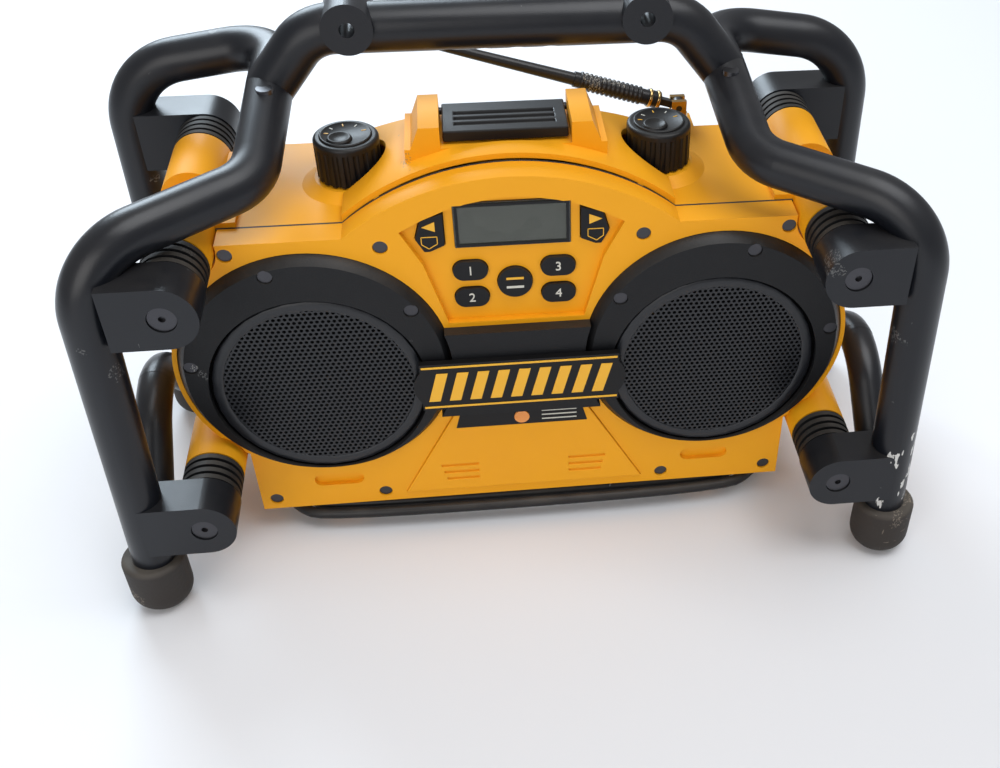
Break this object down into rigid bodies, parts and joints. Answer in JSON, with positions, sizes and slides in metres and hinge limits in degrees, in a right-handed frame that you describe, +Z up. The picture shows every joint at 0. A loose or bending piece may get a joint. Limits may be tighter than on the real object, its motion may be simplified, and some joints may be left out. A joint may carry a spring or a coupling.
{
  "type": "jobsite radio",
  "caption": "Rugged jobsite radio: a splash-proof body with round speakers, display and keys, hung on ribbed rubber mounts in a tubular roll cage with a carrying grip.",
  "frame": {"origin": "on the ground, midway between the four feet", "axes": "+X to the right of the radio as seen from its front, -Y is the front, +Z is up"},
  "size_m": [0.476, 0.2158, 0.3125],
  "materials": {
    "housing_plastic": "satin moulded plastic with a fine grain",
    "cage_plastic": "satin moulded plastic, scuffed",
    "mount_rubber": "matt ribbed rubber",
    "seal_rubber": "matt",
    "foot_rubber": "worn and dusty",
    "ring_plastic": "satin",
    "badge_plastic": "semi-gloss with raised bars",
    "trim_plastic": "satin",
    "key_plastic": "soft satin",
    "grille_metal": "black powder coat",
    "basket_metal": "black",
    "cone_paper": "doped paper",
    "magnet_iron": "plated",
    "transformer_iron": "laminated",
    "screw_steel": "blackened",
    "antenna_brass": "plated, worn to brass",
    "antenna_metal": "black sleeve over steel",
    "control_metal": "machined",
    "window_clear": "clear",
    "display_plastic": "unlit display",
    "board_laminate": "green solder mask",
    "terminal_plastic": "black with plated blades",
    "lens_plastic": "tinted",
    "cord_rubber": "satin",
    "plug_plastic": "moulded"
  },
  "bodies": {
    "radio": {"rear_housing": "housing_plastic", "front_cover": "housing_plastic", "charge_panel": "housing_plastic", "left_front_leg": "cage_plastic", "left_rear_leg": "cage_plastic", "right_front_leg": "cage_plastic", "right_rear_leg": "cage_plastic", "left_side_rail": "cage_plastic", "right_side_rail": "cage_plastic", "top_handle": "cage_plastic", "shock_mounts": "mount_rubber", "cover_gasket": "seal_rubber", "cord_gland": "seal_rubber", "rubber_feet": "foot_rubber", "left_speaker_ring": "ring_plastic", "right_speaker_ring": "ring_plastic", "centre_band": "ring_plastic", "badge_plate": "badge_plastic", "left_grille": "grille_metal", "right_grille": "grille_metal", "left_speaker_basket": "basket_metal", "right_speaker_basket": "basket_metal", "left_speaker_cone": "cone_paper", "right_speaker_cone": "cone_paper", "left_speaker_magnet": "magnet_iron", "right_speaker_magnet": "magnet_iron", "transformer": "transformer_iron", "cover_screws": "screw_steel", "ring_screws": "screw_steel", "cage_screws": "screw_steel", "mount_screws": "screw_steel", "door_pin": "screw_steel", "latch_pin": "screw_steel", "volume_control": "control_metal", "tuning_control": "control_metal", "display_window": "window_clear", "display_module": "display_plastic", "main_board": "board_laminate", "key_board": "board_laminate", "battery_terminals": "terminal_plastic", "charge_light_lens": "lens_plastic", "power_cord": "cord_rubber", "power_plug": "plug_plastic"},
    "volume_knob": {"volume_knob": "trim_plastic"},
    "tuning_knob": {"tuning_knob": "trim_plastic"},
    "preset_key_1": {"preset_key_1": "key_plastic"},
    "preset_key_2": {"preset_key_2": "key_plastic"},
    "preset_key_3": {"preset_key_3": "key_plastic"},
    "preset_key_4": {"preset_key_4": "key_plastic"},
    "mode_key": {"mode_key": "key_plastic"},
    "left_tuning_key": {"left_tuning_key": "key_plastic"},
    "right_tuning_key": {"right_tuning_key": "key_plastic"},
    "battery_latch": {"battery_latch": "trim_plastic"},
    "battery_door": {"battery_door": "trim_plastic"},
    "antenna_knuckle": {"antenna_knuckle": "antenna_brass", "antenna_screw": "screw_steel"},
    "antenna_whip": {"antenna_whip": "antenna_metal"}
  },
  "joints": [
    {"name": "volume_turn", "type": "hinge", "parent": "radio", "child": "volume_knob", "pos_m": [-0.0865, 0.018, 0.225], "axis": [0, 0, -1], "range_deg": [0, 300]},
    {"name": "tuning_turn", "type": "hinge", "parent": "radio", "child": "tuning_knob", "pos_m": [0.0865, 0.018, 0.225], "axis": [0, 0, -1], "continuous": true},
    {"name": "preset_1_press", "type": "slide", "parent": "radio", "child": "preset_key_1", "axis": [0, 1, 0], "range_m": [0, 0.0012], "stiffness_N_per_m": 1500},
    {"name": "preset_2_press", "type": "slide", "parent": "radio", "child": "preset_key_2", "axis": [0, 1, 0], "range_m": [0, 0.0012], "stiffness_N_per_m": 1500},
    {"name": "preset_3_press", "type": "slide", "parent": "radio", "child": "preset_key_3", "axis": [0, 1, 0], "range_m": [0, 0.0012], "stiffness_N_per_m": 1500},
    {"name": "preset_4_press", "type": "slide", "parent": "radio", "child": "preset_key_4", "axis": [0, 1, 0], "range_m": [0, 0.0012], "stiffness_N_per_m": 1500},
    {"name": "mode_press", "type": "slide", "parent": "radio", "child": "mode_key", "axis": [0, 1, 0], "range_m": [0, 0.0012], "stiffness_N_per_m": 1500},
    {"name": "left_tuning_press", "type": "slide", "parent": "radio", "child": "left_tuning_key", "axis": [0, 1, 0], "range_m": [0, 0.0012], "stiffness_N_per_m": 1500},
    {"name": "right_tuning_press", "type": "slide", "parent": "radio", "child": "right_tuning_key", "axis": [0, 1, 0], "range_m": [0, 0.0012], "stiffness_N_per_m": 1500},
    {"name": "latch_lift", "type": "hinge", "parent": "radio", "child": "battery_latch", "pos_m": [0, 0.022, 0.2495], "axis": [-1, 0, 0], "range_deg": [0, 45]},
    {"name": "door_swing", "type": "hinge", "parent": "radio", "child": "battery_door", "pos_m": [0, 0.0688, 0.052], "axis": [-1, 0, 0], "range_deg": [0, 95]},
    {"name": "antenna_swivel", "type": "hinge", "parent": "radio", "child": "antenna_knuckle", "pos_m": [0.107, 0.072, 0.215], "axis": [0, 0, -1], "range_deg": [0, 80]},
    {"name": "antenna_fold", "type": "hinge", "parent": "antenna_knuckle", "child": "antenna_whip", "pos_m": [0.107, 0.072, 0.222], "axis": [0, 1, 0], "range_deg": [-15, 60]}
  ]
}
